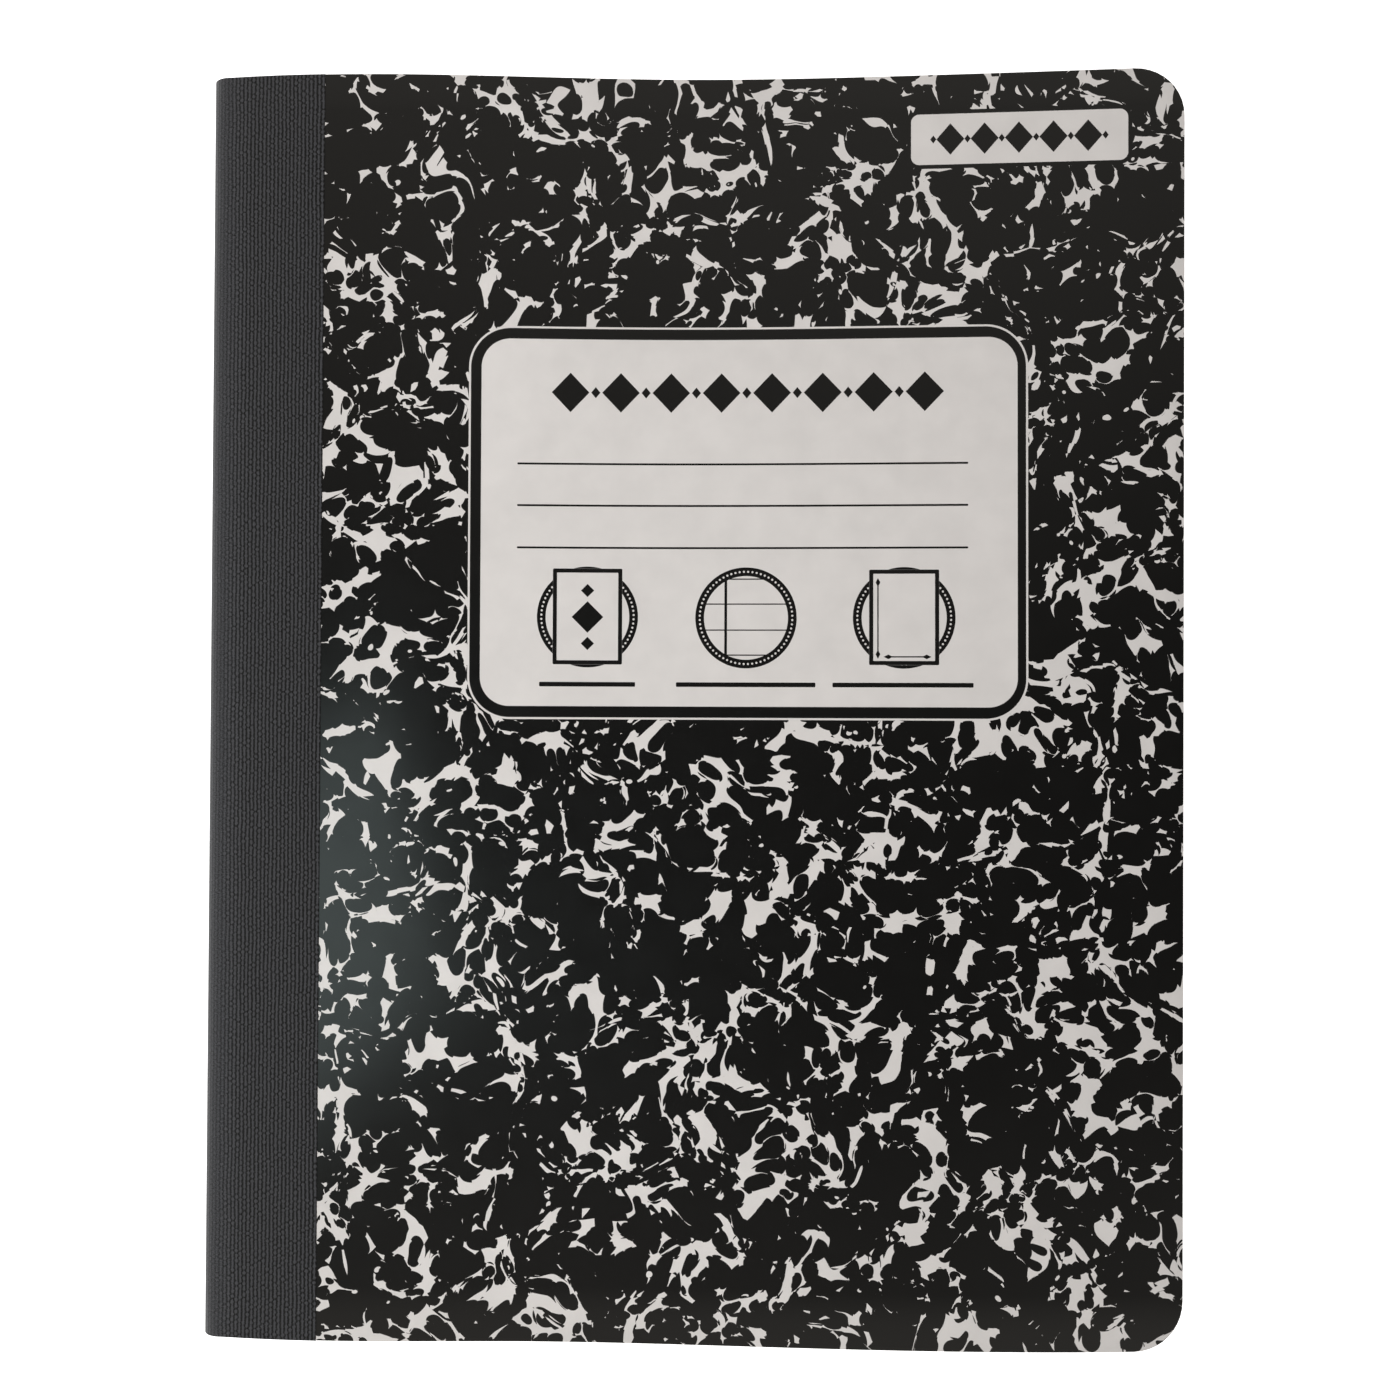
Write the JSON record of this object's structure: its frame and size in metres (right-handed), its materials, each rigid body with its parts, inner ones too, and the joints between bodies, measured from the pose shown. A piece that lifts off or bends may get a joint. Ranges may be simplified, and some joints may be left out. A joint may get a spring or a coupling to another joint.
{
  "type": "composition notebook",
  "caption": "Sewn composition notebook with stiff marbled covers, a cloth spine tape and rounded fore-edge corners, lying closed.",
  "frame": {"origin": "middle of the footprint, on the surface the notebook lies on", "axes": "+X from the spine to the fore edge, +Y up the page to the head, +Z out of the front cover"},
  "size_m": [0.1905, 0.2476, 0.0163],
  "materials": {
    "pages": "matt",
    "cover_board": "satin",
    "spine_board": "matt",
    "spine_cloth": "matt",
    "thread": "matt"
  },
  "bodies": {
    "book_block": {"page_block": "pages", "cover_spine": "spine_board", "spine_tape": "spine_cloth", "needle_thread": "thread", "bobbin_thread": "thread"},
    "front": {"front_cover": "cover_board", "front_tape": "spine_cloth"},
    "back": {"back_cover": "cover_board", "back_tape": "spine_cloth"}
  },
  "joints": [
    {"name": "front_cover_hinge", "type": "hinge", "parent": "book_block", "child": "front", "pos_m": [-0.09121, 0, 0.00823], "axis": [0, -1, 0], "range_deg": [0, 179]},
    {"name": "back_cover_hinge", "type": "hinge", "parent": "book_block", "child": "back", "pos_m": [-0.09121, 0, -0.00015], "axis": [0, 1, 0], "range_deg": [0, 180]}
  ]
}
